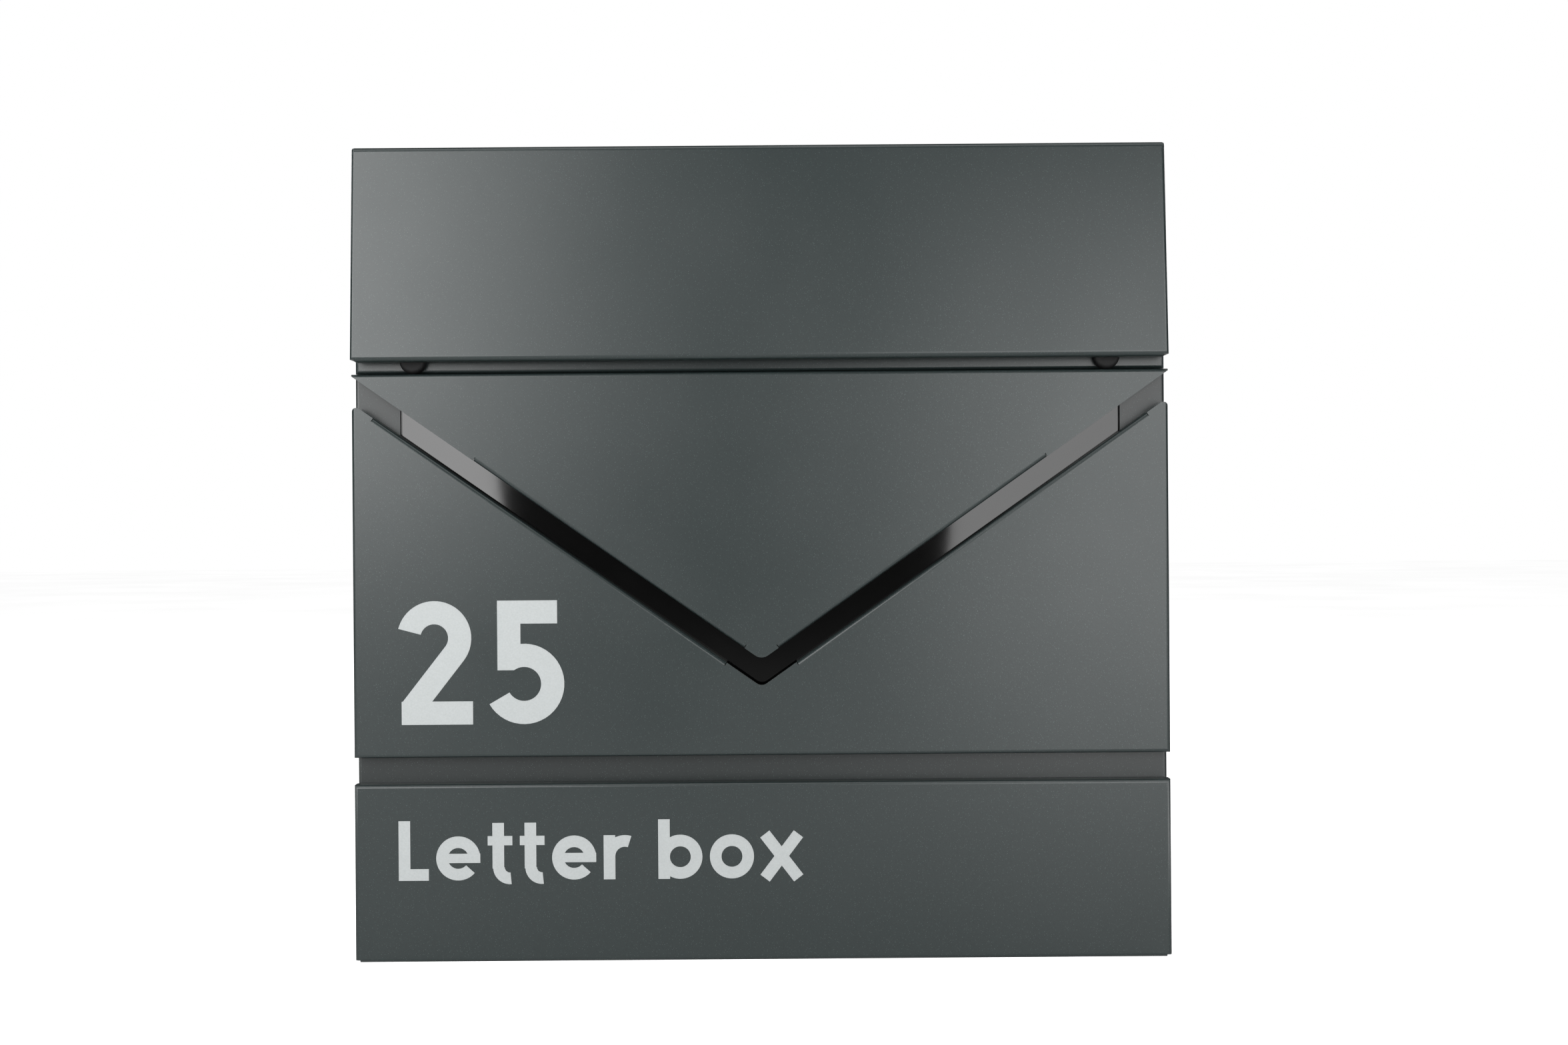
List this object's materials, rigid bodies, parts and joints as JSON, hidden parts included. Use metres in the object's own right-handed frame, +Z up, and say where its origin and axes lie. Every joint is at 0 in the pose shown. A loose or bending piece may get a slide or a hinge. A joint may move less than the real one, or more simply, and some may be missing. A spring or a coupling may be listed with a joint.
{
  "type": "wall letterbox",
  "caption": "Wall-mounted steel letterbox with a lift-up lid, a drop-down door faced with envelope-style plates, and a cam lock.",
  "frame": {"origin": "centre of the four wall holes on the back face of the case", "axes": "+X to the right seen from the front, +Y back into the wall, +Z up"},
  "size_m": [0.37, 0.1058, 0.3725],
  "materials": {
    "powder_coat": "fine-textured satin powder coat, anthracite",
    "acrylic": "polished black acrylic",
    "vinyl": "satin silver-white film",
    "rubber": "matt moulded",
    "tape": "matt foam tape",
    "zinc": "bright zinc plated",
    "rivet": "plain aluminium",
    "lock_metal": "polished nickel on zinc"
  },
  "bodies": {
    "root": {"case_wrap": "powder_coat", "back_panel": "powder_coat", "slot_sill": "powder_coat", "slot_plate": "powder_coat", "slot_rivets": "rivet", "hinge_lug_left": "zinc", "hinge_lug_right": "zinc", "lug_rivets": "rivet", "lid_rod": "zinc", "bumper_left": "rubber", "bumper_right": "rubber", "lock_body": "lock_metal", "lock_nut": "lock_metal"},
    "lock": {"lock_plug": "lock_metal", "lock_cam": "zinc", "cam_screw": "zinc"},
    "lid": {"lid_shell": "powder_coat"},
    "door": {"door_skin": "powder_coat", "flap_plate": "powder_coat", "envelope_plate": "powder_coat", "base_plate": "powder_coat", "flap_rivets": "rivet", "envelope_rivets": "rivet", "base_rivets": "rivet", "window": "acrylic", "window_tape": "tape", "strike_bracket": "zinc", "strike_rivets": "rivet", "door_pin_left": "zinc", "door_pin_right": "zinc", "house_number": "vinyl", "name_lettering": "vinyl"}
  },
  "joints": [
    {"name": "lid_hinge", "type": "hinge", "parent": "root", "child": "lid", "pos_m": [0, -0.00255, 0.18495], "axis": [-1, 0, 0], "range_deg": [0, 85]},
    {"name": "door_hinge", "type": "hinge", "parent": "root", "child": "door", "pos_m": [0, -0.0865, -0.18], "axis": [1, 0, 0], "range_deg": [0, 90]},
    {"name": "lock_turn", "type": "hinge", "parent": "root", "child": "lock", "pos_m": [0, -0.08, 0.105], "axis": [0, 1, 0], "range_deg": [0, 90]}
  ]
}
